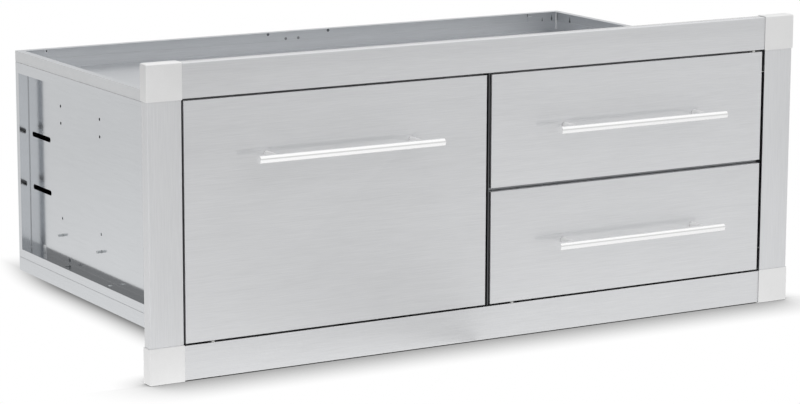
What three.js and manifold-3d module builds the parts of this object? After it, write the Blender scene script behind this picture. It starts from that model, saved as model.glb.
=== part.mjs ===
// Built-in outdoor kitchen drawer unit: one deep drawer beside two stacked shallow ones,
// inset in a trim frame with cast corner caps, on a folded sheet cabinet.
// Millimetres. +X runs right along the front, +Y runs back into the island, +Z is up.
// The origin is on the rear face of the mounting flange, at the middle of the width,
// level with the rim that the cabinet stands on.
import * as THREE from 'three';
import { mergeVertices } from 'three/addons/utils/BufferGeometryUtils.js';
import Module from 'manifold-3d';

const wasm = await Module();
wasm.setup();

// Clearances and construction allowances
const seatGap = 0.3;
const overrun = 5;
const bendSteps = 3;
const cornerSteps = 4;

// Trim frame: folded stainless channel round the opening
const frameWidth = 1066.8;
const frameHeight = 434.1;
const frameDepth = 18;
const frameSheet = 1.2;
const frameBend = 0.6;
const frameLip = 12;
const topRailFace = 48.4;
const bottomRailFace = 48.4;
const stileFace = 50.1;
const frameBelowBase = 47.8;

// Cast corner caps, which lap over the frame's inner corners
const capLap = 1.2;
const capWall = 1;
const capEdgeRadius = 2.2;
const capCornerRadius = 2.6;
const capHollowCorner = 1;
const capHollowEdge = 0.6;

// Cabinet: dished side panels with a nested tray above and below
const boxSheet = 0.8;
const boxSideInset = 51.7;
const frameAboveRim = 53;
const boxDepth = 542.4;
const nestGap = 0.3;
const topSeamDrop = 16.7;
const bottomSeamRise = 20.4;
const topFlangeDrop = 32.8;
const bottomFlangeRise = 32.9;
const rimLip = 11;
const flangeMargin = 3;
const sideRecess = 19.6;
const backLip = 10.2;
const backReturn = 11;

// Vent slots through each side panel, measured from the back flange and the lower fold
const ventLength = 66.8;
const ventHeight = 7.5;
const ventSetback = 12;
const lowerVentRise = 95.1;
const ventSpacing = 80;
const roundSides = 12;

// Runner screw holes through each side panel
const screwHole = 4.5;
const screwColumnFront = 288.6;
const screwColumnSpacing = 135.8;
const screwRowSpacing = 25.4;

// Centre divider and the cross rail between the stacked drawers
const dividerSheet = 1.5;
const dividerFlange = 14;
const railHeight = 26;
const railDepth = 18;
const railSheet = 1.2;
const railBend = 0.6;
const dividerSetback = 1;
const railNoseSetback = 10;
const railNoseGap = 0.6;
const noseEndGap = 1;

// Drawer fronts, inset flush with the frame
const leftReveal = 3.4;
const rightReveal = 4.5;
const topReveal = 2.8;
const bottomReveal = 2.3;
const centreReveal = 7.9;
const middleReveal = 4.8;
const frontSheet = 1.2;
const frontEdgeRadius = 1.6;
const frontRearGap = 1.5;
const skinSheet = 1;
const skinRecess = 0.4;
const accessHole = 13;

// Drawer boxes, folded and welded to the inner skin of the front
const drawerSheet = 0.9;
const drawerHem = 7;
const drawerRearGap = 46.2;
const lowerFloorGap = 6.7;
const upperFloorGap = 24.8;
const boxTopGap = 6.6;
const boxRailGap = 6.4;

// Bar handles, each on two posts screwed on from inside the front
const barLength = 290;
const barDiameter = 12;
const barChamfer = 0.6;
const barStandoff = 37;
const barSides = 28;
const postInset = 31;
const postDiameter = 9;
const postSides = 20;
const screwShank = 5;
const screwClearance = 0.3;
const screwLength = 12;
const screwHeadDiameter = 10;
const screwHeadHeight = 3;
const boreEndGap = 1.5;

// Telescopic runners: three nested channels on each side of a drawer
const slideHeight = 45.5;
const slideThickness = 12.7;
const slideSheet = 1.2;
const slideBend = 0.4;
const slideRunningGap = 0.4;
const slideFrontSetback = 2;
const slideRearGap = 42.2;
const slideAboveFloor = 45;
const middleMemberSetback = 2;
const middleMemberShort = 18;
const innerMemberShort = 2;
const flangeEndGap = 1.5;

// Small bumpers that centre a closed drawer in its opening
const bumperWidth = 4;
const bumperDepth = 10;
const bumperSetback = 0.5;
const leftBumperInset = 41.5;
const upperBumperInset = 15.5;
const lowerBumperInset = 37.9;

// Places that follow from the sizes above
const flangeFront = -boxSheet;
const frameRear = flangeFront - seatGap;
const frameFront = frameRear - frameDepth;
const frameRight = frameWidth / 2;
const frameBottom = -frameBelowBase;
const frameTop = frameBottom + frameHeight;
const openBottom = frameBottom + bottomRailFace;
const openTop = frameTop - topRailFace;
const openRight = frameRight - stileFace;
const boxHalf = frameRight - boxSideInset;
const boxHeight = frameTop - frameAboveRim;
const boxInnerRear = boxDepth - boxSheet;
const webOuter = boxHalf - sideRecess;
const webInner = webOuter - boxSheet;
const topSeam = boxHeight - topSeamDrop;
const bottomSeam = bottomSeamRise;
const topFlangeUnder = boxHeight - topFlangeDrop;
const bottomFlangeOver = bottomFlangeRise;
const topDeckUnder = topFlangeUnder + boxSheet + nestGap;
const bottomDeckOver = bottomFlangeOver - boxSheet - nestGap;
const backLipFront = boxDepth - backLip;
const dividerHalf = dividerSheet / 2;
const frontFloor = openBottom + bottomReveal;
const frontCeiling = openTop - topReveal;
const frontLeftEdge = leftReveal - openRight;
const frontRightEdge = openRight - rightReveal;
const frontInnerEdge = centreReveal / 2;
const frontRear = flangeFront - frontRearGap;
const middleLine = (frontFloor + frontCeiling) / 2;
const upperFrontFloor = middleLine + middleReveal / 2;
const lowerFrontCeiling = middleLine - middleReveal / 2;
const railTop = middleLine + railHeight / 2;
const railUnder = middleLine - railHeight / 2;
const lowerBoxFloor = bottomFlangeOver + lowerFloorGap;
const upperBoxFloor = railTop + upperFloorGap;
const lowerSlideLine = lowerBoxFloor + slideAboveFloor;
const upperSlideLine = upperBoxFloor + slideAboveFloor;
const boxCeiling = topFlangeUnder - boxTopGap;
const drawerRear = boxInnerRear - drawerRearGap;
const slideRear = boxInnerRear - slideRearGap;
const barAxis = frameFront - barStandoff;
const boreRadius = screwShank / 2 + screwClearance;
const skinRear = frontRear - skinRecess;
const skinFront = skinRear - skinSheet;
const upperHandleLine = (upperFrontFloor + frontCeiling) / 2;
const lowerHandleLine = (frontFloor + lowerFrontCeiling) / 2;
const memberStep = slideSheet + slideRunningGap;
const memberTip = slideThickness - slideSheet - flangeEndGap;
const slideFront = slideFrontSetback;
const slideRange = [slideFront, slideRear];
const middleRange = [slideFront + middleMemberSetback, slideRear - middleMemberShort];
const innerRange = [slideFront, slideRear - innerMemberShort];

const finishes = {
  brushed: { color: 0xc8cacc, roughness: 0.34, metalness: 1 },
  cast: { color: 0xd9dadb, roughness: 0.22, metalness: 1 },
  polished: { color: 0xe4e5e6, roughness: 0.12, metalness: 1 },
  folded: { color: 0xb6babd, roughness: 0.42, metalness: 1 },
  zinc: { color: 0xaab0b3, roughness: 0.4, metalness: 1 },
  rubber: { color: 0xd5d5d0, roughness: 0.8, metalness: 0 },
};

const unit = new THREE.Group();

// Solids: closed meshes that can be joined and cut
function solidOf(geometry) {
  const bare = geometry.clone();
  bare.deleteAttribute('normal');
  bare.deleteAttribute('uv');
  const merged = mergeVertices(bare);
  const corners = merged.index.array;
  const faces = [];
  for (let at = 0; at < corners.length; at += 3) {
    const face = [corners[at], corners[at + 1], corners[at + 2]];
    if (new Set(face).size === face.length) faces.push(...face);
  }
  const mesh = new wasm.Mesh({
    numProp: 3,
    vertProperties: new Float32Array(merged.attributes.position.array),
    triVerts: new Uint32Array(faces),
  });
  return new wasm.Manifold(mesh);
}

function geometryOf(solid) {
  const mesh = solid.getMesh();
  const geometry = new THREE.BufferGeometry();
  geometry.setAttribute('position', new THREE.BufferAttribute(new Float32Array(mesh.vertProperties), 3));
  geometry.setIndex(new THREE.BufferAttribute(new Uint32Array(mesh.triVerts), 1));
  geometry.computeVertexNormals();
  return geometry;
}

function addPiece(name, solid, finish) {
  const material = new THREE.MeshStandardMaterial({ ...finishes[finish], flatShading: true });
  const mesh = new THREE.Mesh(geometryOf(solid), material);
  mesh.name = name;
  unit.add(mesh);
}

function join(...solids) {
  return solids.reduce((whole, piece) => whole.add(piece));
}

function cut(solid, ...tools) {
  return tools.reduce((whole, tool) => whole.subtract(tool), solid);
}

// A copy of the geometry with each vertex moved by a rule
function reshape(geometry, rule) {
  const position = geometry.attributes.position;
  for (let index = 0; index < position.count; index += 1) {
    const place = [position.getX(index), position.getY(index), position.getZ(index)];
    position.setXYZ(index, ...rule(place));
  }
  return geometry;
}

// A block between two corners, given as ranges in any order
function block(...ranges) {
  const pick = (value, range) => (value < 0 ? Math.min(...range) : Math.max(...range));
  const rule = (place) => place.map((value, axis) => pick(value, ranges[axis]));
  return solidOf(reshape(new THREE.BoxGeometry(), rule));
}

// A range that reaches a little past both of its ends
function past(range) {
  return [Math.min(...range) - overrun, Math.max(...range) + overrun];
}

// Section planes: where an outline's point lands, and whether the sweep runs backwards
const planes = {
  XZ: { place: (u, v, along) => [u, along, v], backwards: true },
  YZ: { place: (u, v, along) => [along, u, v], backwards: false },
  XY: { place: (u, v, along) => [u, v, along], backwards: false },
};

function shapeOf(outline) {
  return new THREE.Shape(outline.map(([u, v]) => new THREE.Vector2(u, v)));
}

function sweep(outline, plane, from, to) {
  const { place, backwards } = planes[plane];
  const [start, end] = backwards ? [to, from] : [from, to];
  const geometry = new THREE.ExtrudeGeometry(shapeOf(outline), { bevelEnabled: false });
  const rule = ([u, v, along]) => place(u, v, along > 0 ? end : start);
  return solidOf(reshape(geometry, rule));
}

// An upright block with a rounded front edge, from an outline in the XZ plane
function softBlock(outline, radius, front, rear) {
  const depth = rear - front;
  const geometry = new THREE.ExtrudeGeometry(shapeOf(outline), {
    depth,
    bevelThickness: radius,
    bevelSize: radius,
    bevelOffset: -radius,
    bevelSegments: cornerSteps,
  });
  const solid = solidOf(reshape(geometry, ([x, z, along]) => [x, rear + radius - along, z]));
  const xRange = outline.map(([x]) => x);
  const zRange = outline.map(([, z]) => z);
  const behind = block(past(xRange), [rear, rear + depth + overrun], past(zRange));
  return cut(solid, behind);
}

function rectangle([x0, x1], [z0, z1]) {
  return [[x0, z0], [x1, z0], [x1, z1], [x0, z1]];
}

// One corner of a line rounded off by an arc
function roundCorner(before, corner, after, radius, steps) {
  const into = corner.clone().sub(before).normalize();
  const out = after.clone().sub(corner).normalize();
  const turn = Math.atan2(into.x * out.y - into.y * out.x, into.dot(out));
  const tangent = radius * Math.tan(Math.abs(turn) / 2);
  const start = corner.clone().addScaledVector(into, -tangent);
  const side = new THREE.Vector2(-into.y, into.x).multiplyScalar(Math.sign(turn));
  const centre = start.clone().addScaledVector(side, radius);
  const points = [];
  for (let step = 0; step <= steps; step += 1) {
    const point = start.clone().rotateAround(centre, (turn * step) / steps);
    points.push(point);
  }
  return points;
}

// The line shifted to its left, with its corners kept sharp
function shiftLine(line, distance) {
  return line.map((point, index) => {
    const before = line[Math.max(index - 1, 0)];
    const after = line[Math.min(index + 1, line.length - 1)];
    const into = point.clone().sub(before).normalize();
    const out = after.clone().sub(point).normalize();
    if (index === 0) into.copy(out);
    if (index === line.length - 1) out.copy(into);
    const normal = new THREE.Vector2(-into.y - out.y, into.x + out.x).normalize();
    const stretch = distance / (normal.y * into.x - normal.x * into.y);
    return point.clone().addScaledVector(normal, stretch);
  });
}

// The closed section of a folded sheet. The line is one face of the sheet, and the sheet
// lies to the left of it, with the given inside radius at every fold.
function foldedSheet(points, sheet, insideRadius) {
  const line = points.map(([u, v]) => new THREE.Vector2(u, v));
  const roundFolds = (path, isShifted) => path.flatMap((point, index) => {
    if (index === 0 || index === path.length - 1) return [point];
    const into = point.clone().sub(path[index - 1]);
    const out = path[index + 1].clone().sub(point);
    const turnsLeft = into.cross(out) > 0;
    const radius = turnsLeft === isShifted ? insideRadius : insideRadius + sheet;
    return roundCorner(path[index - 1], point, path[index + 1], radius, bendSteps);
  });
  const near = roundFolds(line, false);
  const far = roundFolds(shiftLine(line, sheet), true).reverse();
  return [...near, ...far].map((point) => [point.x, point.y]);
}

function roundBar(radius, length, sides) {
  return new THREE.CylinderGeometry(radius, radius, length, sides);
}

// A cylinder lying along Y between two places
function roundAlongY(x, z, radius, [yFrom, yTo], sides) {
  const geometry = roundBar(radius, Math.abs(yTo - yFrom), sides);
  geometry.translate(x, (yFrom + yTo) / 2, z);
  return solidOf(geometry);
}

// A cylinder lying along X between two places
function roundAlongX(y, z, radius, [xFrom, xTo], sides) {
  const geometry = roundBar(radius, Math.abs(xTo - xFrom), sides);
  geometry.rotateZ(Math.PI / 2);
  geometry.translate((xFrom + xTo) / 2, y, z);
  return solidOf(geometry);
}

// Trim frame rails and stiles: a face, a return at the outer edge and a rear lip
function frameSection(outer, inner) {
  const inward = Math.sign(inner - outer);
  const path = [
    [inner, frameFront],
    [outer, frameFront],
    [outer, frameRear],
    [outer + inward * frameLip, frameRear],
  ];
  return inward < 0 ? path : path.reverse();
}

function addRail(name, outer, inner) {
  const path = frameSection(outer, inner).map(([z, y]) => [y, z]);
  const section = foldedSheet(path.reverse(), frameSheet, frameBend);
  addPiece(name, sweep(section, 'YZ', -frameRight, frameRight), 'brushed');
}

function addStile(name, side) {
  const path = frameSection(side * frameRight, side * openRight);
  const section = foldedSheet(path, frameSheet, frameBend);
  addPiece(name, sweep(section, 'XY', openBottom + seatGap, openTop - seatGap), 'brushed');
}

// A square outline in the XZ plane with its outer corner rounded
function cornerOutline([x, z], [side, level], reach, radius) {
  const innerX = x - side * reach;
  const innerZ = z - level * reach;
  const along = new THREE.Vector2(innerX, z);
  const down = new THREE.Vector2(x, innerZ);
  const arc = roundCorner(along, new THREE.Vector2(x, z), down, radius, cornerSteps);
  return [[innerX, innerZ], [innerX, z], ...arc.map((point) => [point.x, point.y]), [x, innerZ]];
}

// Corner caps: a rounded shell over the face, the side and the end of the frame's corner
function addCap(name, side, level) {
  const frameEnd = level > 0 ? frameTop : frameBottom;
  const rim = level > 0 ? openTop : openBottom;
  const innerX = side * (openRight - capLap);
  const innerZ = rim - level * capLap;
  const reach = stileFace + capLap + 2 * overrun;
  const grown = (growth) => [side * (frameRight + growth), frameEnd + level * growth];
  const proud = seatGap + capWall;
  const outside = cornerOutline(grown(proud), [side, level], reach, capCornerRadius);
  const inside = cornerOutline(grown(seatGap), [side, level], reach + overrun, capHollowCorner);
  const shell = softBlock(outside, capEdgeRadius, frameFront - proud, frameRear);
  const hollow = softBlock(inside, capHollowEdge, frameFront - seatGap, frameRear + overrun);
  const [outerX, outerZ] = grown(proud + overrun);
  const depthRange = past([frameFront, frameRear]);
  const spareX = block([innerX, innerX - side * reach], depthRange, [outerZ, innerZ - level * reach]);
  const spareZ = block([outerX, innerX - side * reach], depthRange, [innerZ, innerZ - level * reach]);
  addPiece(name, cut(shell, hollow, spareX, spareZ), 'cast');
}

// A tray with its rim turned inward. Its upper wall stands flush with the side panels, its
// lower wall nests inside them, and its front edge is a mounting flange. Depths run from the
// rim towards the deck.
function addTray(name, seamDepth, flangeDepth, flangeEnd, heightAt) {
  const wide = boxHalf;
  const narrow = boxHalf - boxSheet - nestGap;
  const lowerRear = boxInnerRear - nestGap;
  const ledge = seamDepth - nestGap;
  const deck = flangeDepth - boxSheet - nestGap;
  const across = (half, inset) => [inset - half, half - inset];
  const heights = (from, to) => [heightAt(from), heightAt(to)];
  const upper = cut(
    block(across(wide, 0), [0, boxDepth], heights(0, ledge)),
    block(across(wide, boxSheet), [-overrun, boxInnerRear], heights(boxSheet, ledge - boxSheet)),
    block(across(wide, rimLip), [-overrun, boxDepth - rimLip], heights(-overrun, ledge)),
  );
  const lower = block(across(narrow, 0), [0, lowerRear], heights(ledge - boxSheet, deck));
  const wellDepths = heights(ledge - overrun, deck - boxSheet);
  const well = block(across(narrow, boxSheet), [-overrun, lowerRear - boxSheet], wellDepths);
  const flangeHalf = frameRight - flangeMargin;
  const flange = block(across(flangeHalf, 0), [flangeFront, 0], [heightAt(deck), flangeEnd]);
  addPiece(name, join(cut(join(upper, lower), well), flange), 'folded');
}

function addTrays() {
  const flangeTop = frameTop - flangeMargin;
  const flangeBottom = frameBottom + flangeMargin;
  addTray('top_tray', topSeamDrop, topFlangeDrop, flangeTop, (depth) => boxHeight - depth);
  addTray('bottom_tray', bottomSeamRise, bottomFlangeRise, flangeBottom, (depth) => depth);
}

// A slot with round ends, cut through a side panel
function slotAcross(xRange, rear, line, length, height) {
  const radius = height / 2;
  const ends = [rear - length + radius, rear - radius];
  const rounds = ends.map((y) => roundAlongX(y, line, radius, xRange, roundSides));
  return join(block(xRange, ends, [line - radius, line + radius]), ...rounds);
}

function ventSlots(xRange) {
  const rear = boxInnerRear - ventSetback;
  const lowerVent = bottomFlangeOver + lowerVentRise;
  return [lowerVent, lowerVent + ventSpacing].map(
    (line) => slotAcross(xRange, rear, line, ventLength, ventHeight),
  );
}

function runnerScrewHoles(xRange) {
  const offset = screwRowSpacing / 2;
  const rows = [upperSlideLine, lowerSlideLine].flatMap((line) => [line + offset, line - offset]);
  return [screwColumnFront, screwColumnFront + screwColumnSpacing].flatMap(
    (y) => rows.map((z) => roundAlongX(y, z, screwHole / 2, xRange, roundSides)),
  );
}

// Side panels: dished between the two trays, with a flange behind the frame and a flange at
// the back that ends in a lip turned forward
function addSidePanel(name, side) {
  const span = (...distances) => distances.map((distance) => side * distance);
  const inner = webInner - overrun;
  const outer = frameRight + overrun;
  const skin = boxHalf - boxSheet;
  const dish = [bottomFlangeOver, topFlangeUnder];
  const aboveDish = [topFlangeUnder + boxSheet, topSeam + overrun];
  const underDish = [bottomSeam - overrun, bottomFlangeOver - boxSheet];
  const wholeDepth = past([flangeFront, boxDepth]);
  const inside = [flangeFront - overrun, boxInnerRear];
  const behindFlange = [flangeFront - overrun, nestGap];
  const folded = cut(
    block(span(webInner, frameRight - flangeMargin), [flangeFront, boxDepth], [bottomSeam, topSeam]),
    block(span(inner, skin), inside, aboveDish),
    block(span(inner, skin), inside, underDish),
    block(span(boxHalf, outer), wholeDepth, aboveDish),
    block(span(boxHalf, outer), wholeDepth, underDish),
    block(span(boxHalf, outer), [0, boxDepth + overrun], past([bottomSeam, topSeam])),
    block(span(webOuter, outer), [0, backLipFront], dish),
    block(span(webOuter, skin), [0, boxInnerRear], dish),
    block(span(inner, outer), behindFlange, aboveDish),
    block(span(inner, outer), behindFlange, underDish),
  );
  const through = past(span(webInner, webOuter));
  addPiece(name, cut(folded, ...ventSlots(through), ...runnerScrewHoles(through)), 'folded');
}

// Back panel between the side panels, with a return along each of them
function addBackPanel() {
  const edge = webInner - nestGap;
  const sheet = block([-edge, edge], [boxInnerRear, boxDepth], [bottomSeam, topSeam]);
  const returns = [-1, 1].map((side) => block(
    [side * edge, side * (edge - boxSheet)],
    [boxDepth - backReturn, boxDepth],
    [bottomDeckOver + seatGap, topDeckUnder - seatGap],
  ));
  addPiece('back_panel', join(sheet, ...returns), 'folded');
}

// Centre divider: a web with a flange on each deck. Between the fronts its edge reaches
// forward through the frame's opening.
function addDivider() {
  const floor = bottomDeckOver + seatGap;
  const ceiling = topDeckUnder - seatGap;
  const foot = dividerHalf - dividerFlange;
  const front = frameFront + dividerSetback;
  const rear = boxInnerRear - seatGap;
  const tall = [openBottom + noseEndGap, openTop - noseEndGap];
  const width = past([foot, dividerHalf]);
  const channel = cut(
    block([foot, dividerHalf], [front, rear], tall),
    block(width, [frameRear, rear + overrun], [ceiling, tall[1] + overrun]),
    block(width, [frameRear, rear + overrun], [tall[0] - overrun, floor]),
    block(
      [foot - overrun, -dividerHalf],
      past([front, rear]),
      [floor + dividerSheet, ceiling - dividerSheet],
    ),
    block([foot - overrun, -dividerHalf], [front - overrun, seatGap], past(tall)),
  );
  addPiece('centre_divider', channel, 'folded');
}

// Cross rail between the stacked drawers: a channel open to the back, with a nose in front
function addCrossRail() {
  const xRange = [dividerHalf + seatGap, webInner - seatGap];
  const path = [
    [frameRear + railDepth, railTop],
    [frameRear, railTop],
    [frameRear, railUnder],
    [frameRear + railDepth, railUnder],
  ];
  const channel = sweep(foldedSheet(path, railSheet, railBend), 'YZ', ...xRange);
  const noseHalf = middleReveal / 2 - railNoseGap;
  const nose = block(
    [xRange[0], openRight - noseEndGap],
    [frameFront + railNoseSetback, frameRear],
    [middleLine - noseHalf, middleLine + noseHalf],
  );
  addPiece('cross_rail', join(channel, nose), 'folded');
}

// One runner member: a channel beside a wall. The web and the flange tips are given as
// distances from the wall, and the inward direction leads from the wall to the drawer.
function addMember(name, { wall, inward, line }, { web, tip, step, range }) {
  const half = slideHeight / 2 - step * memberStep;
  const turn = Math.sign(tip - web);
  const path = [
    [tip, turn * half],
    [web, turn * half],
    [web, -turn * half],
    [tip, -turn * half],
  ];
  const place = ([out, up]) => [wall + inward * (seatGap + out), line + up];
  const outline = foldedSheet(path, slideSheet, slideBend).map(place);
  addPiece(name, sweep(outline, 'XZ', ...range), 'zinc');
}

const members = {
  fixed: { web: 0, tip: memberTip, step: 0, range: slideRange },
  middle: { web: memberStep, tip: memberTip, step: 1, range: middleRange },
  moving: { web: slideThickness, tip: 2 * memberStep, step: 2, range: innerRange },
};

function addRunners({ name, walls, slideLine }) {
  const sides = [
    { hand: 'left', wall: walls[0], inward: 1, line: slideLine },
    { hand: 'right', wall: walls[1], inward: -1, line: slideLine },
  ];
  for (const side of sides) {
    for (const [kind, member] of Object.entries(members)) {
      addMember(`${name}_${side.hand}_runner_${kind}`, side, member);
    }
  }
}

// Drawer front: a shallow pan open to the back, drilled for the handle screws
function addFront({ name, edges, span, handleLine }, postPlaces) {
  const shell = softBlock(rectangle(edges, span), frontEdgeRadius, frameFront, frontRear);
  const inset = ([from, to]) => [from + frontSheet, to - frontSheet];
  const hollow = block(inset(edges), [frameFront + frontSheet, frontRear + overrun], inset(span));
  const holeRange = [frameFront - overrun, frameFront + frontSheet + overrun];
  const holes = postPlaces.map((x) => roundAlongY(x, handleLine, boreRadius, holeRange, roundSides));
  addPiece(`${name}_front`, cut(shell, hollow, ...holes), 'brushed');
}

// Drawer box: a hemmed tray welded to the inner skin of the front
function addDrawerBox({ name, edges, span, walls, boxSpan, handleLine }, postPlaces) {
  const skinInset = frontSheet + seatGap;
  const inset = ([from, to], distance) => [from + distance, to - distance];
  const across = inset(walls, 2 * seatGap + slideThickness);
  const [floor, ceiling] = boxSpan;
  const weldLine = (skinFront + skinRear) / 2;
  const tray = cut(
    block(across, [weldLine, drawerRear], boxSpan),
    block(
      inset(across, drawerSheet),
      [weldLine - overrun, drawerRear - drawerSheet],
      [floor + drawerSheet, ceiling - drawerSheet],
    ),
    block(
      inset(across, drawerHem),
      [weldLine - overrun, drawerRear - drawerHem],
      [ceiling - drawerHem, ceiling + overrun],
    ),
  );
  const skin = block(inset(edges, skinInset), [skinFront, skinRear], inset(span, skinInset));
  const skinRange = past([skinFront, skinRear]);
  const holes = postPlaces.map((x) => roundAlongY(x, handleLine, accessHole / 2, skinRange, postSides));
  addPiece(`${name}_box`, join(cut(skin, ...holes), tray), 'folded');
}

// Bar handle: a round bar with chamfered ends
function addBar({ name, handleLine }, centre) {
  const radius = barDiameter / 2;
  const half = barLength / 2;
  const profile = [
    [0, -half],
    [radius - barChamfer, -half],
    [radius, barChamfer - half],
    [radius, half - barChamfer],
    [radius - barChamfer, half],
    [0, half],
  ].map(([across, along]) => new THREE.Vector2(across, along));
  const geometry = new THREE.LatheGeometry(profile, barSides);
  geometry.rotateZ(Math.PI / 2);
  geometry.translate(centre, barAxis, handleLine);
  addPiece(`${name}_handle_bar`, solidOf(geometry), 'polished');
}

// Handle post: saddled to the bar and bored blind for its screw
function addPost(name, x, z) {
  const seat = frameFront - seatGap;
  const boreEnd = frameFront - screwLength - boreEndGap;
  const saddleRadius = barDiameter / 2 + seatGap;
  const shaft = roundAlongY(x, z, postDiameter / 2, [seat, barAxis], postSides);
  const saddle = roundAlongX(barAxis, z, saddleRadius, past([x - postDiameter, x + postDiameter]), barSides);
  const bore = roundAlongY(x, z, boreRadius, [seat + overrun, boreEnd], roundSides);
  addPiece(name, cut(shaft, saddle, bore), 'polished');
}

function addScrew(name, x, z) {
  const underHead = frameFront + frontSheet + seatGap;
  const headEnd = underHead + screwHeadHeight;
  const head = roundAlongY(x, z, screwHeadDiameter / 2, [underHead, headEnd], postSides);
  const shankRange = [frameFront - screwLength, (underHead + headEnd) / 2];
  addPiece(name, join(head, roundAlongY(x, z, screwShank / 2, shankRange, roundSides)), 'zinc');
}

// Bumper in the gap under a front or over it
function addBumper({ name, bumperPlace: x, bumperGap: gap }) {
  const y = frameFront + bumperSetback;
  const pad = block(
    [x - bumperWidth / 2, x + bumperWidth / 2],
    [y, y + bumperDepth],
    [gap[0] + seatGap, gap[1] - seatGap],
  );
  addPiece(`${name}_bumper`, pad, 'rubber');
}

const drawers = [
  {
    name: 'left_drawer',
    edges: [frontLeftEdge, -frontInnerEdge],
    span: [frontFloor, frontCeiling],
    walls: [-webInner, -dividerHalf],
    boxSpan: [lowerBoxFloor, boxCeiling],
    slideLine: lowerSlideLine,
    handleLine: upperHandleLine,
    bumperPlace: frontLeftEdge + leftBumperInset,
    bumperGap: [openBottom, frontFloor],
  },
  {
    name: 'upper_drawer',
    edges: [frontInnerEdge, frontRightEdge],
    span: [upperFrontFloor, frontCeiling],
    walls: [dividerHalf, webInner],
    boxSpan: [upperBoxFloor, boxCeiling],
    slideLine: upperSlideLine,
    handleLine: upperHandleLine,
    bumperPlace: frontRightEdge - upperBumperInset,
    bumperGap: [frontCeiling, openTop],
  },
  {
    name: 'lower_drawer',
    edges: [frontInnerEdge, frontRightEdge],
    span: [frontFloor, lowerFrontCeiling],
    walls: [dividerHalf, webInner],
    boxSpan: [lowerBoxFloor, railUnder - boxRailGap],
    slideLine: lowerSlideLine,
    handleLine: lowerHandleLine,
    bumperPlace: frontInnerEdge + lowerBumperInset,
    bumperGap: [openBottom, frontFloor],
  },
];

function addDrawer(drawer) {
  const centre = (drawer.edges[0] + drawer.edges[1]) / 2;
  const postReach = barLength / 2 - postInset;
  const postPlaces = [centre - postReach, centre + postReach];
  addRunners(drawer);
  addFront(drawer, postPlaces);
  addDrawerBox(drawer, postPlaces);
  addBar(drawer, centre);
  for (const [index, hand] of ['left', 'right'].entries()) {
    addPost(`${drawer.name}_${hand}_post`, postPlaces[index], drawer.handleLine);
    addScrew(`${drawer.name}_${hand}_screw`, postPlaces[index], drawer.handleLine);
  }
  addBumper(drawer);
}

addRail('frame_top_rail', frameTop, openTop);
addRail('frame_bottom_rail', frameBottom, openBottom);
addStile('frame_left_stile', -1);
addStile('frame_right_stile', 1);
addCap('corner_cap_top_left', -1, 1);
addCap('corner_cap_top_right', 1, 1);
addCap('corner_cap_bottom_left', -1, -1);
addCap('corner_cap_bottom_right', 1, -1);
addTrays();
addSidePanel('side_panel_left', -1);
addSidePanel('side_panel_right', 1);
addBackPanel();
addDivider();
addCrossRail();
drawers.forEach(addDrawer);

export default unit;
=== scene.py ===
import math

import bpy
from mathutils import Matrix, Vector


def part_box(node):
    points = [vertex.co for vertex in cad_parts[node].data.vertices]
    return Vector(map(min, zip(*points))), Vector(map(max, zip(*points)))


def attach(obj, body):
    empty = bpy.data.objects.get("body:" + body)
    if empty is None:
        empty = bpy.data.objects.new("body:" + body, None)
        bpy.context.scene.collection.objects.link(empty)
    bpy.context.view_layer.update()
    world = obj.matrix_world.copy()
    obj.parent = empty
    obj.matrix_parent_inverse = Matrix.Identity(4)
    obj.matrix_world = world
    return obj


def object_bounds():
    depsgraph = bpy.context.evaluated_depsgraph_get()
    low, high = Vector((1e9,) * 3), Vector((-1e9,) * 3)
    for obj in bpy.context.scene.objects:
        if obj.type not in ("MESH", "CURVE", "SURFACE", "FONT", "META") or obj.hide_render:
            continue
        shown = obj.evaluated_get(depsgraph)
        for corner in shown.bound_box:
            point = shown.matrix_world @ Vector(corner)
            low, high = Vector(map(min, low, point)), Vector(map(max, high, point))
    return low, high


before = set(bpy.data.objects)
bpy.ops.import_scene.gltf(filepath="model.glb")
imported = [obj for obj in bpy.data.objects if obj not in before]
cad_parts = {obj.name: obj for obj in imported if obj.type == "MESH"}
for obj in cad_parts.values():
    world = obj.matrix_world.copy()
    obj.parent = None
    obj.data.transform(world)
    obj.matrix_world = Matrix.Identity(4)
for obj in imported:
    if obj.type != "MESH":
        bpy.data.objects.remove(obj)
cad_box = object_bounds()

MM = 0.001
QUARTER_TURN = math.pi / 2

# Camera: its place, heading, tilt and lens
CAMERA_PLACE = (-2.19605, -3.51843, 0.95522)
CAMERA_HEADING = math.radians(30.36407)
CAMERA_TILT = math.radians(11.00391)
CAMERA_ROLL = math.radians(0.18139)
FOCAL_PIXELS = 2962.459
IMAGE_WIDTH = 800
SENSOR_WIDTH = 36.0
CLIP_NEAR = 0.05
CLIP_FAR = 60.0


def make_camera():
    heading, tilt, roll = CAMERA_HEADING, CAMERA_TILT, CAMERA_ROLL
    level_share = math.cos(tilt)
    ahead = (math.sin(heading) * level_share, math.cos(heading) * level_share)
    forward = Vector((*ahead, -math.sin(tilt)))
    level = Vector((math.cos(heading), -math.sin(heading), 0.0))
    upright = level.cross(forward)
    right = level * math.cos(roll) + upright * math.sin(roll)
    up = upright * math.cos(roll) - level * math.sin(roll)
    data = bpy.data.cameras.new("camera")
    data.sensor_width = SENSOR_WIDTH
    data.lens = FOCAL_PIXELS / IMAGE_WIDTH * SENSOR_WIDTH
    data.clip_start = CLIP_NEAR
    data.clip_end = CLIP_FAR
    camera = bpy.data.objects.new("camera", data)
    bpy.context.scene.collection.objects.link(camera)
    turn = Matrix((right, up, -forward)).transposed().to_4x4()
    camera.matrix_world = Matrix.Translation(CAMERA_PLACE) @ turn
    bpy.context.scene.camera = camera


make_camera()


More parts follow.
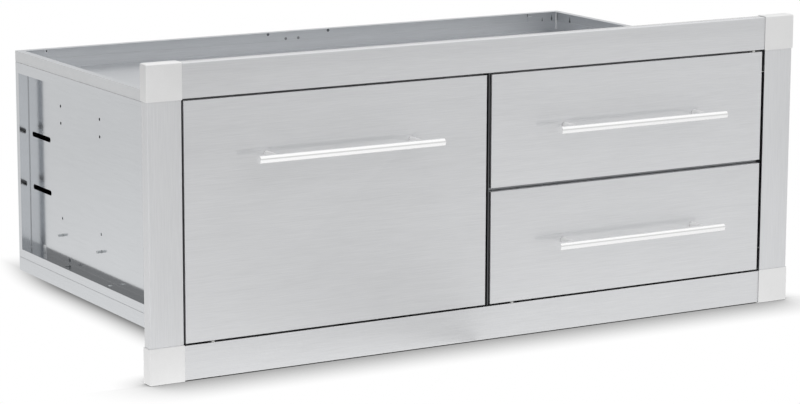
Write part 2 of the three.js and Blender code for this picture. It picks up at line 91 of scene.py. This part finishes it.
# Cabinet: its sheet, and places in mm that follow from its pieces. The web is the dished side
# panel's deep face, and the ledge is the fold below it.
SHEET_GAUGE = 0.8
NEST_GAP = 0.3
SIDE_RECESS = 19.6
WALL_INSET = 1.0
REAR_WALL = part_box("top_tray")[1].y / MM - SHEET_GAUGE
SIDE_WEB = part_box("side_panel_right")[0].x / MM + SHEET_GAUGE
LOWER_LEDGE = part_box("bottom_tray")[1].z / MM + NEST_GAP + SHEET_GAUGE
CABINET_HALF = SIDE_WEB + SIDE_RECESS
RIGHT_WALL = CABINET_HALF - WALL_INSET


class Nodes:
    """A short way to build a node tree."""

    def __init__(self, tree):
        self.tree = tree
        tree.nodes.clear()

    def add(self, kind, settings=None, inputs=None):
        node = self.tree.nodes.new(kind)
        for name, value in (settings or {}).items():
            setattr(node, name, value)
        for name, value in (inputs or {}).items():
            if isinstance(value, bpy.types.NodeSocket):
                self.tree.links.new(value, node.inputs[name])
            else:
                node.inputs[name].default_value = value
        return node

    def math(self, operation, first, second):
        node = self.add("ShaderNodeMath", {"operation": operation}, {0: first, 1: second})
        return node.outputs[0]

    def magnitude(self, value):
        """A value without its sign."""
        return self.math("ABSOLUTE", value, 0.0)

    def span(self, value, from_range, to_range):
        """A value carried from one range to another and held at its ends."""
        ends = {
            "Value": value,
            "From Min": from_range[0],
            "From Max": from_range[1],
            "To Min": to_range[0],
            "To Max": to_range[1],
        }
        return self.add("ShaderNodeMapRange", inputs=ends).outputs["Result"]

    def noise(self, place, scale, detail, roughness):
        texture = self.add(
            "ShaderNodeTexNoise",
            inputs={"Vector": place, "Scale": scale, "Detail": detail, "Roughness": roughness},
        )
        return texture.outputs["Fac"]

    def stretched_noise(self, place, scales, axis, detail):
        """Noise drawn out along one axis, as grain left by a belt: scales across and along it."""
        across, along = scales
        stretch = [across, across, across]
        stretch["XYZ".index(axis)] = along
        mapped = self.add("ShaderNodeMapping", inputs={"Vector": place, "Scale": stretch})
        return self.noise(mapped.outputs[0], scale=1.0, detail=detail, roughness=0.6)

    def blend(self, values, shares):
        """The sum of values, each times its share."""
        total = None
        for value, share in zip(values, shares):
            part = self.math("MULTIPLY", value, share)
            total = part if total is None else self.math("ADD", total, part)
        return total


# Finishes. Scales are per metre, and depths are those of the relief.
STREAK_SCALES = (2600.0, 26.0)
BAND_SCALES = (70.0, 5.0)
SMEAR_SCALE = 6.0
BRUSHED_SHARES = (0.76, 0.12, 0.12)
BRUSHED_DEPTH = 0.2 * MM
FINE_SCALE = 900.0
BROAD_SCALE = 30.0
MOTTLE_SHARES = (0.5, 0.5)
MOTTLE_DEPTH = 0.1 * MM
NOISE_RANGE = (0.3, 0.7)
GLOSS_SWING = 0.1
POLISH_ROUGHNESS = 0.04
POLISH_IOR = 2.4
# Insets in mm from the cabinet's sides where a lighter tone, painted light, comes in
OUTSIDE_INSETS = (0.5, 0.2)
OUTSIDE_FROM = tuple((CABINET_HALF - inset) * MM for inset in OUTSIDE_INSETS)


def start_material(name):
    """A new material, its nodes, and the place on the surface."""
    material = bpy.data.materials.new(name)
    material.use_nodes = True
    nodes = Nodes(material.node_tree)
    return material, nodes, nodes.add("ShaderNodeTexCoord").outputs["Object"]


def swing(nodes, value, middle, rise):
    """Noise as a level about a middle. With a positive rise it is highest where the noise is."""
    return nodes.span(value, NOISE_RANGE, (middle * (1.0 - rise), middle * (1.0 + rise)))


def finish_shader(nodes, colour, second_colour, share, shade, metallic, gloss, height, depth, bump):
    """Colour between two tones times a shade, with gloss and height, into the output.

    Returns the shader, so that a material can add its own settings."""
    tone = nodes.add(
        "ShaderNodeMix",
        {"data_type": "RGBA"},
        {"Factor": share, "A": (*colour, 1.0), "B": (*second_colour, 1.0)},
    )
    tint = nodes.add(
        "ShaderNodeVectorMath", {"operation": "SCALE"}, {0: tone.outputs["Result"], "Scale": shade}
    )
    relief = nodes.add(
        "ShaderNodeBump", inputs={"Strength": bump, "Distance": depth, "Height": height}
    )
    shader = nodes.add(
        "ShaderNodeBsdfPrincipled",
        inputs={
            "Base Color": tint.outputs[0],
            "Metallic": metallic,
            "Roughness": gloss,
            "Normal": relief.outputs[0],
        },
    )
    nodes.add("ShaderNodeOutputMaterial", inputs={"Surface": shader.outputs[0]})
    return shader


def brushed(name, colour, axis, roughness, painted_lit_colour=None, grain=0.05, bump=0.02, polish=0.0):
    """Brushed sheet: streaks along one axis in colour, gloss and height, with faint smears.

    The painted lit colour is that of the faces on the cabinet's sides: a lighter tone, painted
    light, that makes them read as lit against the shaded inside. The polish is a thin sharp
    reflection over the brushed one."""
    material, nodes, place = start_material(name)
    streaks = nodes.stretched_noise(place, STREAK_SCALES, axis, detail=3.0)
    bands = nodes.stretched_noise(place, BAND_SCALES, axis, detail=2.0)
    smears = nodes.noise(place, SMEAR_SCALE, detail=3.0, roughness=0.55)
    mixed = nodes.blend((streaks, bands, smears), BRUSHED_SHARES)
    shade = swing(nodes, mixed, 1.0, grain)
    gloss = swing(nodes, mixed, roughness, -GLOSS_SWING)
    parts = nodes.add("ShaderNodeSeparateXYZ", inputs={0: place}).outputs
    # Share of the lighter tone painted on as light near the cabinet's sides
    painted_lit_share = nodes.span(nodes.magnitude(parts["X"]), OUTSIDE_FROM, (0.0, 1.0))
    outer = painted_lit_colour or colour
    shader = finish_shader(
        nodes, colour, outer, painted_lit_share, shade, 1.0, gloss, streaks, BRUSHED_DEPTH, bump
    )
    if polish:
        shader.inputs["Coat Weight"].default_value = polish
        shader.inputs["Coat Roughness"].default_value = POLISH_ROUGHNESS
        shader.inputs["Coat IOR"].default_value = POLISH_IOR
    return material


def plated(name, colour, roughness, metallic=1.0, mottle=0.06, bump=0.05):
    """Plated, cast or moulded surface: a fine even mottle in colour, gloss and height."""
    material, nodes, place = start_material(name)
    fine = nodes.noise(place, FINE_SCALE, detail=3.0, roughness=0.6)
    broad = nodes.noise(place, BROAD_SCALE, detail=3.0, roughness=0.5)
    mixed = nodes.blend((fine, broad), MOTTLE_SHARES)
    shade = swing(nodes, mixed, 1.0, mottle)
    gloss = swing(nodes, mixed, roughness, -GLOSS_SWING)
    finish_shader(nodes, colour, colour, broad, shade, metallic, gloss, fine, MOTTLE_DEPTH, bump)
    return material


# Colours, and the finishes made with them
STEEL = (0.8, 0.808, 0.823)
SHEET = (0.645, 0.66, 0.678)
TRAY_SHEET = (0.68, 0.695, 0.715)
# Painted light: a lighter tone for the tray's faces on the cabinet's sides, so that they read as
# lit
TRAY_PAINTED_LIT_SIDE = (0.78, 0.79, 0.8)
DRAWER_SHEET = (0.74, 0.75, 0.76)
CAST_STEEL = (0.94, 0.94, 0.94)
HANDLE_STEEL = (0.985, 0.985, 0.985)
POST_STEEL = (0.98, 0.98, 0.98)
ZINC = (0.6, 0.62, 0.63)
GALVANISED = (0.3, 0.31, 0.32)
# Painted shade: the centre divider is near black, for the shade in the gap between the fronts
DIVIDER_PAINTED_SHADE = (0.15, 0.155, 0.16)
# Dark fasteners, and painted shade for the holes and slits drawn as dark marks
DARK_FASTENER_AND_OPENING_SHADE = (0.16, 0.17, 0.18)
# Bright fasteners, and painted highlights on the raised tabs
BRIGHT_FASTENER_AND_HIGHLIGHT = (0.95, 0.955, 0.96)
PALE_RUBBER = (0.62, 0.62, 0.6)
FRONT_ROUGHNESS = 0.64
materials = {
    "front": brushed("front_brushed", STEEL, "X", roughness=FRONT_ROUGHNESS, polish=1.0),
    "rail": brushed("rail_brushed", STEEL, "X", roughness=FRONT_ROUGHNESS, polish=1.0),
    "stile": brushed("stile_brushed", STEEL, "Z", roughness=FRONT_ROUGHNESS, polish=1.0),
    "cabinet": brushed("cabinet_sheet", SHEET, "Y", roughness=0.14, bump=0.01),
    # The tray's faces on the cabinet's sides get a lighter tone: painted light
    "tray": brushed(
        "tray_sheet", TRAY_SHEET, "X", roughness=0.42, painted_lit_colour=TRAY_PAINTED_LIT_SIDE, grain=0.08
    ),
    "lower_tray": brushed("lower_tray_sheet", SHEET, "Y", roughness=0.18, bump=0.01),
    "drawer": brushed("drawer_sheet", DRAWER_SHEET, "Y", roughness=0.45),
    "cast": plated("cast_cap", CAST_STEEL, roughness=0.55, mottle=0.02),
    "handle": brushed("handle_satin", HANDLE_STEEL, "X", roughness=0.12, grain=0.015, bump=0.01),
    "post": plated("post_satin", POST_STEEL, roughness=0.7, mottle=0.01),
    "zinc": plated("zinc_plate", ZINC, roughness=0.34),
    "galvanised": plated("galvanised_sheet", GALVANISED, roughness=0.4),
    # The divider's near-black colour is painted shade for the centre gap
    "divider": plated("divider_painted_shade", DIVIDER_PAINTED_SHADE, roughness=0.4),
    # Dark: fasteners, and the painted shade of holes and slits
    "dark": plated("dark_fastener_and_painted_opening_shade", DARK_FASTENER_AND_OPENING_SHADE, roughness=0.45),
    # Bright: fasteners, and the painted highlights of the raised tabs
    "bright": plated("bright_fastener_and_painted_highlight", BRIGHT_FASTENER_AND_HIGHLIGHT, roughness=0.2, mottle=0.02),
    "rubber": plated("bumper_rubber", PALE_RUBBER, roughness=0.7, metallic=0.0),
}

# Finish of each piece by the first of these endings that its name has. The corner caps are cast,
# and the rest is cabinet sheet.
FINISH_BY_ENDING = {
    "top_tray": "tray",
    "bottom_tray": "lower_tray",
    "centre_divider": "divider",
    "cross_rail": "galvanised",
    "_stile": "stile",
    "_rail": "rail",
    "_front": "front",
    "_handle_bar": "handle",
    "_post": "post",
    "_bumper": "rubber",
    "_screw": "zinc",
    "_runner_fixed": "zinc",
    "_runner_middle": "zinc",
    "_runner_moving": "zinc",
    "_box": "drawer",
}

# Radius of the softened edges, by finish, and the steepest angle that is still one round surface
EDGE_RADIUS = {
    "cast": 1.2 * MM,
    "rail": 0.5 * MM,
    "stile": 0.5 * MM,
    "front": 0.5 * MM,
    "handle": 0.5 * MM,
    "post": 0.3 * MM,
    "rubber": 0.4 * MM,
    "zinc": 0.15 * MM,
    "drawer": 0.15 * MM,
    "tray": 0.15 * MM,
    "lower_tray": 0.15 * MM,
    "cabinet": 0.15 * MM,
    "galvanised": 0.3 * MM,
    "divider": 0.3 * MM,
}
EDGE_STEPS = 3
ROUND_ANGLE = math.radians(32)
JOIN_DISTANCE = 0.01 * MM


def finish_of(name):
    if name.startswith("corner_cap"):
        return "cast"
    for ending, finish in FINISH_BY_ENDING.items():
        if name.endswith(ending):
            return finish
    return "cabinet"


def make_smoothing():
    """Nodes that join the corners of the faces and shade all but sharp folds smooth."""
    group = bpy.data.node_groups.new("smooth_folds", "GeometryNodeTree")
    for side in ("INPUT", "OUTPUT"):
        group.interface.new_socket("Geometry", in_out=side, socket_type="NodeSocketGeometry")
    nodes = Nodes(group)
    start = nodes.add("NodeGroupInput").outputs[0]
    joined = nodes.add(
        "GeometryNodeMergeByDistance", inputs={"Geometry": start, "Distance": JOIN_DISTANCE}
    ).outputs[0]
    smooth = nodes.add("GeometryNodeSetShadeSmooth", inputs={0: joined}).outputs[0]
    angle = nodes.add("GeometryNodeInputMeshEdgeAngle").outputs["Unsigned Angle"]
    fold = nodes.math("GREATER_THAN", angle, ROUND_ANGLE)
    sharp = nodes.add(
        "GeometryNodeSetShadeSmooth",
        {"domain": "EDGE"},
        {0: smooth, "Selection": fold, "Shade Smooth": False},
    ).outputs[0]
    nodes.add("NodeGroupOutput", inputs={0: sharp})
    return group


def soften(piece, radius, smoothing):
    joining = piece.modifiers.new("smooth_folds", "NODES")
    joining.node_group = smoothing
    rounding = piece.modifiers.new("soft_edges", "BEVEL")
    rounding.width = radius
    rounding.segments = EDGE_STEPS
    rounding.limit_method = "ANGLE"
    rounding.angle_limit = ROUND_ANGLE
    rounding.harden_normals = True


def dress_nodes():
    smoothing = make_smoothing()
    for name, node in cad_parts.items():
        finish = finish_of(name)
        node.data.materials.clear()
        node.data.materials.append(materials[finish])
        soften(node, EDGE_RADIUS[finish], smoothing)


dress_nodes()


# Small parts of the cabinet, in mm. Each is built about its own place, and outward is away from
# the sheet that it sits in.
SUNK = 0.3
TO_FRONT = (0, -1, 0)
TO_LEFT = (-1, 0, 0)
TO_TOP = (0, 0, 1)


def add_piece(name, points, faces, finish, smooth=True):
    mesh = bpy.data.meshes.new(name)
    mesh.from_pydata(points, [], faces)
    mesh.update()
    if smooth:
        for face in mesh.polygons:
            face.use_smooth = True
    piece = bpy.data.objects.new(name, mesh)
    bpy.context.scene.collection.objects.link(piece)
    mesh.materials.append(materials[finish])
    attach(piece, "cabinet")


def directions(outward):
    """Two directions in the sheet, then the one away from it."""
    outward = Vector(outward)
    upward = Vector((0, 1, 0)) if outward.z else Vector((0, 0, 1))
    return upward.cross(outward), upward, outward


def add_turned(name, place, outward, profile, finish, spokes=20):
    """A part turned about the outward direction, from its profile of radius and height.

    It is closed at the back and ends in a point on its axis."""
    across, upward, outward = directions(outward)
    centre = Vector(place) * MM
    points = []
    for reach, lift in profile:
        for spoke in range(spokes):
            turn = math.tau * spoke / spokes
            aside = across * math.cos(turn) + upward * math.sin(turn)
            points.append(centre + aside * (reach * MM) + outward * (lift * MM))
    points.append(centre + outward * (profile[-1][1] * MM))
    faces = [tuple(reversed(range(spokes)))]
    for level in range(len(profile) - 1):
        low, high = level * spokes, (level + 1) * spokes
        for spoke in range(spokes):
            after = (spoke + 1) % spokes
            faces.append((low + spoke, low + after, high + after, high + spoke))
    last = (len(profile) - 1) * spokes
    for spoke in range(spokes):
        faces.append((last + spoke, last + (spoke + 1) % spokes, len(points) - 1))
    add_piece(name, points, faces, finish)


def add_rivet(name, place, outward, radius, height, finish, rings=5):
    """A domed head, sunk into the sheet."""
    profile = [(radius, -SUNK)]
    for ring in range(rings):
        turn = QUARTER_TURN * ring / rings
        profile.append((radius * math.cos(turn), height * math.sin(turn)))
    add_turned(name, place, outward, profile, finish)


def add_stud(name, place, outward, radius, length, pitch, depth, finish):
    """The threaded end of a screw, with a chamfered tip."""
    profile = [(radius, -SUNK)]
    for turn in range(int(length / pitch)):
        start = turn * pitch
        profile.append((radius - depth, start + pitch / 4))
        profile.append((radius, start + pitch * 3 / 4))
    profile.append((radius - depth, length))
    add_turned(name, place, outward, profile, finish)


def add_bead(name, start, end, radius, finish, spokes=12, steps=3):
    """A round bead with domed ends, from one place to another."""
    start, end, radius = Vector(start) * MM, Vector(end) * MM, radius * MM
    along = (end - start).normalized()
    side = along.orthogonal().normalized()
    other = along.cross(side)
    rows = []
    for step in range(1, steps + 1):
        turn = QUARTER_TURN * step / steps
        rows.append((start - along * (radius * math.cos(turn)), radius * math.sin(turn)))
    for step in range(steps):
        turn = QUARTER_TURN * step / steps
        rows.append((end + along * (radius * math.sin(turn)), radius * math.cos(turn)))
    points = [start - along * radius]
    for centre, reach in rows:
        for spoke in range(spokes):
            turn = math.tau * spoke / spokes
            points.append(centre + (side * math.cos(turn) + other * math.sin(turn)) * reach)
    points.append(end + along * radius)
    faces = []
    last = 1 + (len(rows) - 1) * spokes
    for spoke in range(spokes):
        after = (spoke + 1) % spokes
        faces.append((0, 1 + after, 1 + spoke))
        for row in range(len(rows) - 1):
            low, high = 1 + row * spokes, 1 + (row + 1) * spokes
            faces.append((low + spoke, low + after, high + after, high + spoke))
        faces.append((last + spoke, last + after, len(points) - 1))
    add_piece(name, points, faces, finish)


def add_inlay(name, place, outward, outline, proud, finish):
    """A thin flat shape on a sheet, from its outline across and up."""
    across, upward, outward = directions(outward)
    centre = Vector(place) * MM
    points = []
    for lift in (-SUNK, proud):
        for right, up in outline:
            points.append(centre + (across * right + upward * up + outward * lift) * MM)
    count = len(outline)
    faces = [tuple(reversed(range(count))), tuple(range(count, 2 * count))]
    for index in range(count):
        after = (index + 1) % count
        faces.append((index, after, count + after, count + index))
    add_piece(name, points, faces, finish, smooth=False)


def oblong(width, height):
    right, top = width / 2, height / 2
    return ((-right, -top), (right, -top), (right, top), (-right, top))


def slit(half_height, half_width):
    """A narrow upright opening, widest at its middle."""
    waist = half_width / 2
    shoulder = half_height / 3
    return (
        (0.0, -half_height),
        (waist, -shoulder),
        (half_width, 0.0),
        (waist, shoulder),
        (0.0, half_height),
        (-waist, shoulder),
        (-half_width, 0.0),
        (-waist, -shoulder),
    )


# Rear wall of the upper tray. Places are (x, z).
MARK_PROUD = 0.1
UPPER_RIVET_PLACES = ((-57.0, 329.3), (50.0, 329.0))
UPPER_RIVET = {"radius": 2.4, "height": 0.8, "finish": "dark"}
LOWER_RIVET_PLACES = ((-56.8, 304.7), (50.3, 305.8))
LOWER_RIVET = {"radius": 2.2, "height": 0.6, "finish": "galvanised"}
DIMPLE_PLACES = ((-25.6, 320.7), (-3.3, 320.6))
DIMPLE = {"radius": 2.3, "height": 0.3, "finish": "galvanised"}
# Raised tabs: near white, as painted highlights on their tops
RAISED_TAB_PLACES = ((2.0, 312.8), (26.0, 312.9))
RAISED_TAB_HALF = 3.8
RAISED_TAB_RADIUS = 0.8
DASH_PLACES = ((42.5, 315.0), (-28.1, 314.8))
DASH_SIZE = (7.0, 0.8)
HOLE_PLACE = (-431.5, 329.1)
HOLE_EDGE = {"radius": 2.6, "height": 0.4, "finish": "bright"}
HOLE_MIDDLE = {"radius": 1.9, "height": 0.6, "finish": "dark"}


def add_rear_rivets(name, places, head):
    for index, (x, z) in enumerate(places):
        add_rivet(f"{name}_{index}", (x, REAR_WALL, z), TO_FRONT, **head)


def dress_rear_wall():
    add_rear_rivets("upper_rivet", UPPER_RIVET_PLACES, UPPER_RIVET)
    add_rear_rivets("lower_rivet", LOWER_RIVET_PLACES, LOWER_RIVET)
    add_rear_rivets("dimple", DIMPLE_PLACES, DIMPLE)
    # The raised tabs are bright: painted highlights
    for index, (x, z) in enumerate(RAISED_TAB_PLACES):
        start = (x - RAISED_TAB_HALF, REAR_WALL, z)
        end = (x + RAISED_TAB_HALF, REAR_WALL, z)
        add_bead(f"raised_tab_{index}", start, end, RAISED_TAB_RADIUS, "bright")
    for index, (x, z) in enumerate(DASH_PLACES):
        place = (x, REAR_WALL, z)
        add_inlay(f"dash_{index}", place, TO_FRONT, oblong(*DASH_SIZE), MARK_PROUD, "galvanised")
    x, z = HOLE_PLACE
    add_rivet("hole_edge", (x, REAR_WALL, z), TO_FRONT, **HOLE_EDGE)
    # The hole's dark middle is painted shade of the opening
    add_rivet("hole_middle", (x, REAR_WALL, z), TO_FRONT, **HOLE_MIDDLE)


# Right rear corner of the upper tray: a plate on the rear wall with marks on its face, whose
# places are (x, z), small parts on the right wall, whose places are (y, z), and an upright weld
# between the walls, whose line is (x, y)
PLATE_THICKNESS = 0.5
PLATE_LEFT = 423.3
PLATE_RIGHT = 478.4
PLATE_LOW = 304.0
PLATE_HIGH = 332.6
PLATE_EDGE_RISE = 25.5
PLATE_EDGE_SIZE = (0.9, 5.5)
CREASE_PLACE = (437.5, 315.8)
CREASE_SIZE = (28.0, 0.5)
PLATE_MARK_PLACE = (428.6, 327.0)
PLATE_MARK_SIZE = (4.0, 1.8)
REAR_SLIT_PLACES = ((452.2, 316.3), (470.6, 320.7))
REAR_SLIT_HALF_HEIGHTS = (8.6, 7.4)
REAR_SLIT_HALF_WIDTH = 1.6
SIDE_SLIT_PLACE = (502.5, 319.0)
SIDE_SLIT_HALVES = (8.4, 2.2)
SIDE_RIVET_PLACE = (535.1, 311.2)
SIDE_RIVET = {"radius": 1.7, "height": 0.8, "finish": "bright"}
SIDE_HOLE_PLACE = (532.4, 309.6)
SIDE_HOLE = {"radius": 1.3, "height": 0.9, "finish": "dark"}
WELD_LINE = (479.2, 540.4)
WELD_LOW = 303.4
WELD_HIGH = 331.8
WELD_RADIUS = 1.1


def add_plate_mark(name, place, outline, finish):
    x, z = place
    add_inlay(name, (x, REAR_WALL - PLATE_THICKNESS, z), TO_FRONT, outline, MARK_PROUD, finish)


def dress_rear_corner():
    middle = ((PLATE_LEFT + PLATE_RIGHT) / 2, REAR_WALL, (PLATE_LOW + PLATE_HIGH) / 2)
    plate = oblong(PLATE_RIGHT - PLATE_LEFT, PLATE_HIGH - PLATE_LOW)
    add_inlay("corner_plate", middle, TO_FRONT, plate, PLATE_THICKNESS, "tray")
    edge = (PLATE_LEFT, PLATE_LOW + PLATE_EDGE_RISE)
    add_plate_mark("plate_edge", edge, oblong(*PLATE_EDGE_SIZE), "dark")
    add_plate_mark("plate_crease", CREASE_PLACE, oblong(*CREASE_SIZE), "galvanised")
    add_plate_mark("plate_mark", PLATE_MARK_PLACE, oblong(*PLATE_MARK_SIZE), "bright")
    # The slits are dark inlays: painted shade standing in for the openings
    for index, place in enumerate(REAR_SLIT_PLACES):
        opening = slit(REAR_SLIT_HALF_HEIGHTS[index], REAR_SLIT_HALF_WIDTH)
        add_plate_mark(f"rear_slit_{index}", place, opening, "dark")
    # The side slit and the side hole are dark: painted shade of the openings
    side_slit = (RIGHT_WALL, *SIDE_SLIT_PLACE)
    add_inlay("side_slit", side_slit, TO_LEFT, slit(*SIDE_SLIT_HALVES), MARK_PROUD, "dark")
    add_rivet("side_rivet", (RIGHT_WALL, *SIDE_RIVET_PLACE), TO_LEFT, **SIDE_RIVET)
    add_rivet("side_hole", (RIGHT_WALL, *SIDE_HOLE_PLACE), TO_LEFT, **SIDE_HOLE)
    add_bead("corner_weld", (*WELD_LINE, WELD_LOW), (*WELD_LINE, WELD_HIGH), WELD_RADIUS, "bright")


# Sides of the cabinet. Places on the web are (y, z), and those on the ledge are (x, y).
SCREW_END_PLACES = ((289.0, 71.9), (424.4, 71.9))
SCREW_END = {"radius": 2.0, "length": 7.4, "pitch": 1.4, "depth": 0.3, "finish": "zinc"}
FOLD_OUT = 0.6
FOLD_MIDDLE = 166.5
FOLD_SIZE = (0.5, 265.0)
FOLD_PROUD = 0.05
WEB_TAB_PLACE = (491.5, 39.0)
WEB_TAB_SIZE = (8.5, 11.5)
WEB_TAB_PROUD = 0.5
LEDGE_SCREW_PLACE = (473.0, 386.0)
# The ledge screw is dark to paint its shadow as well as its head
LEDGE_SCREW_AND_SHADOW = {"radius": 3.4, "height": 0.6, "finish": "dark"}
WEB_SCREW_PLACE = (401.0, 38.5)
WEB_SCREW = {"radius": 3.2, "height": 1.0, "finish": "dark"}
LEDGE_RIVET_PLACE = (472.0, 239.0)
LEDGE_RIVET = {"radius": 3.2, "height": 0.7, "finish": "zinc"}


def dress_side(name, side):
    """Screw ends through the web's lowest holes, its rear fold, tab and screw, and the ledge's
    rivet and dark screw, whose dark also paints the screw's shadow."""
    outward = (side, 0, 0)
    web = side * SIDE_WEB
    for index, place in enumerate(SCREW_END_PLACES):
        add_stud(f"{name}_screw_end_{index}", (web, *place), outward, **SCREW_END)
    fold = (side * (SIDE_WEB + FOLD_OUT), REAR_WALL, FOLD_MIDDLE)
    add_inlay(f"{name}_fold_line", fold, TO_FRONT, oblong(*FOLD_SIZE), FOLD_PROUD, "galvanised")
    tab = (web, *WEB_TAB_PLACE)
    add_inlay(f"{name}_web_tab", tab, outward, oblong(*WEB_TAB_SIZE), WEB_TAB_PROUD, "bright")
    x, y = LEDGE_SCREW_PLACE
    # A dark head that is the screw and its painted shadow
    add_rivet(f"{name}_ledge_screw_and_shadow", (side * x, y, LOWER_LEDGE), TO_TOP, **LEDGE_SCREW_AND_SHADOW)
    add_rivet(f"{name}_web_screw", (web, *WEB_SCREW_PLACE), outward, **WEB_SCREW)
    x, y = LEDGE_RIVET_PLACE
    add_rivet(f"{name}_ledge_rivet", (side * x, y, LOWER_LEDGE), TO_TOP, **LEDGE_RIVET)


dress_rear_wall()
dress_rear_corner()
dress_side("left", -1)
dress_side("right", 1)


# Surround: white, but for a grey band low on the horizon that only reflections and light meet,
# darkest behind the object and to its left
BAND_TURNS = (0.7, 1.1)
BAND_LEVELS = (0.66, 0.3)
BAND_TOP = (math.sin(math.radians(17)), math.sin(math.radians(34)))
WHITE = (1, 1, 1, 1)


def make_world():
    world = bpy.data.worlds.new("surround")
    bpy.context.scene.world = world
    world.use_nodes = True
    nodes = Nodes(world.node_tree)
    direction = nodes.add("ShaderNodeTexCoord").outputs["Generated"]
    parts = nodes.add("ShaderNodeSeparateXYZ", inputs={0: direction}).outputs
    turn = nodes.math("SUBTRACT", parts["Y"], parts["X"])
    band = nodes.span(turn, BAND_TURNS, BAND_LEVELS)
    level = nodes.span(parts["Z"], BAND_TOP, (band, 1.0))
    seen = nodes.add("ShaderNodeLightPath").outputs["Is Camera Ray"]
    strength = nodes.math("MAXIMUM", level, seen)
    plain = nodes.add("ShaderNodeBackground", inputs={"Color": WHITE, "Strength": strength})
    nodes.add("ShaderNodeOutputWorld", inputs={"Surface": plain.outputs[0]})


# Floor: white, with the object's own soft shade close to it where the camera sees it. The shade
# reaches further in front of the trim frame's middle than behind it. Below the cabinet and behind
# it
# a painted shade, set by place, is added: it grows with the distance in from the sides, is a little
# lighter deep below the rear, and fades out behind. Reflections see a painted pool of light on it.
# Sizes and places here are in metres.
FLOOR_HALF = 30.0
FRAME_MIDDLE = -10 * MM
FRONT_SHADE = 100 * MM
REAR_SHADE = 48 * MM
SHADE_SAMPLES = 16
SHADE_POWER = 1.25
UNDER_DEPTHS = (27 * MM, 92 * MM)
UNDER_POWER = 1.75
BEHIND_PLACES = (560 * MM, 860 * MM)
BEHIND_POWER = 2.0
DEEP_DEPTHS = (90 * MM, 320 * MM)
DEEP_PLACES = (440 * MM, 600 * MM)
DEEP_LOSS = 0.2
DARKEST = 0.9
# A painted pool of light on the floor, which reflections see
POOL_CENTRE = (-0.9, -0.9, 0.0)
POOL_REACH = (0.6, 2.6)
POOL_LEVELS = (1.0, 0.8)


def shade_under(nodes, parts):
    """The floor's level below the cabinet and behind it: a painted shade, set by place."""
    depth = nodes.math("SUBTRACT", CABINET_HALF * MM, nodes.magnitude(parts["X"]))
    inward = nodes.span(depth, UNDER_DEPTHS, (0.0, 1.0))
    backward = nodes.span(parts["Y"], BEHIND_PLACES, (0.0, 1.0))
    taper = nodes.math("POWER", backward, BEHIND_POWER)
    left = nodes.math("MAXIMUM", nodes.math("SUBTRACT", inward, taper), 0.0)
    behind = nodes.math("GREATER_THAN", parts["Y"], FRAME_MIDDLE)
    share = nodes.math("MULTIPLY", nodes.math("POWER", left, UNDER_POWER), behind)
    deep = nodes.span(depth, DEEP_DEPTHS, (0.0, DEEP_LOSS))
    lost = nodes.math("MULTIPLY", deep, nodes.span(parts["Y"], DEEP_PLACES, (0.0, 1.0)))
    kept = nodes.math("SUBTRACT", 1.0, lost)
    return nodes.span(nodes.math("MULTIPLY", share, kept), (0.0, 1.0), (1.0, 1.0 - DARKEST))


def floor_glow(nodes, path):
    """The floor's own light: its shade where the camera sees it, and elsewhere a broad painted pool
    of light.
    """
    place = nodes.add("ShaderNodeNewGeometry").outputs["Position"]
    parts = nodes.add("ShaderNodeSeparateXYZ", inputs={0: place}).outputs
    in_front = nodes.math("LESS_THAN", parts["Y"], FRAME_MIDDLE)
    reach = nodes.span(in_front, (0.0, 1.0), (REAR_SHADE, FRONT_SHADE))
    open_share = nodes.add(
        "ShaderNodeAmbientOcclusion", {"samples": SHADE_SAMPLES}, {"Distance": reach}
    ).outputs["AO"]
    close = nodes.math("POWER", open_share, SHADE_POWER)
    shade = nodes.math("MULTIPLY", close, shade_under(nodes, parts))
    away = nodes.add(
        "ShaderNodeVectorMath", {"operation": "DISTANCE"}, {0: place, 1: POOL_CENTRE}
    ).outputs["Value"]
    pool = nodes.span(away, POOL_REACH, POOL_LEVELS)
    direct = path["Is Camera Ray"]
    shown = nodes.math("MULTIPLY", shade, direct)
    cast = nodes.math("MULTIPLY", pool, nodes.math("SUBTRACT", 1.0, direct))
    strength = nodes.math("ADD", shown, cast)
    return nodes.add("ShaderNodeEmission", inputs={"Color": WHITE, "Strength": strength})


def make_floor():
    low = cad_box[0].z
    corners = [(-1, -1), (1, -1), (1, 1), (-1, 1)]
    points = [(x * FLOOR_HALF, y * FLOOR_HALF, low) for x, y in corners]
    mesh = bpy.data.meshes.new("floor")
    mesh.from_pydata(points, [], [(0, 1, 2, 3)])
    floor = bpy.data.objects.new("floor", mesh)
    bpy.context.scene.collection.objects.link(floor)
    material = bpy.data.materials.new("floor_white")
    material.use_nodes = True
    nodes = Nodes(material.node_tree)
    path = nodes.add("ShaderNodeLightPath").outputs
    glow = floor_glow(nodes, path)
    reflected = nodes.math("MAXIMUM", path["Is Glossy Ray"], path["Is Transmission Ray"])
    seen = nodes.math("MAXIMUM", path["Is Camera Ray"], reflected)
    matte = nodes.add("ShaderNodeBsdfDiffuse", inputs={"Color": WHITE})
    mixed = nodes.add(
        "ShaderNodeMixShader", inputs={0: seen, 1: matte.outputs[0], 2: glow.outputs[0]}
    )
    nodes.add("ShaderNodeOutputMaterial", inputs={"Surface": mixed.outputs[0]})
    mesh.materials.append(material)


make_world()
make_floor()
bpy.context.scene.view_settings.view_transform = "Standard"
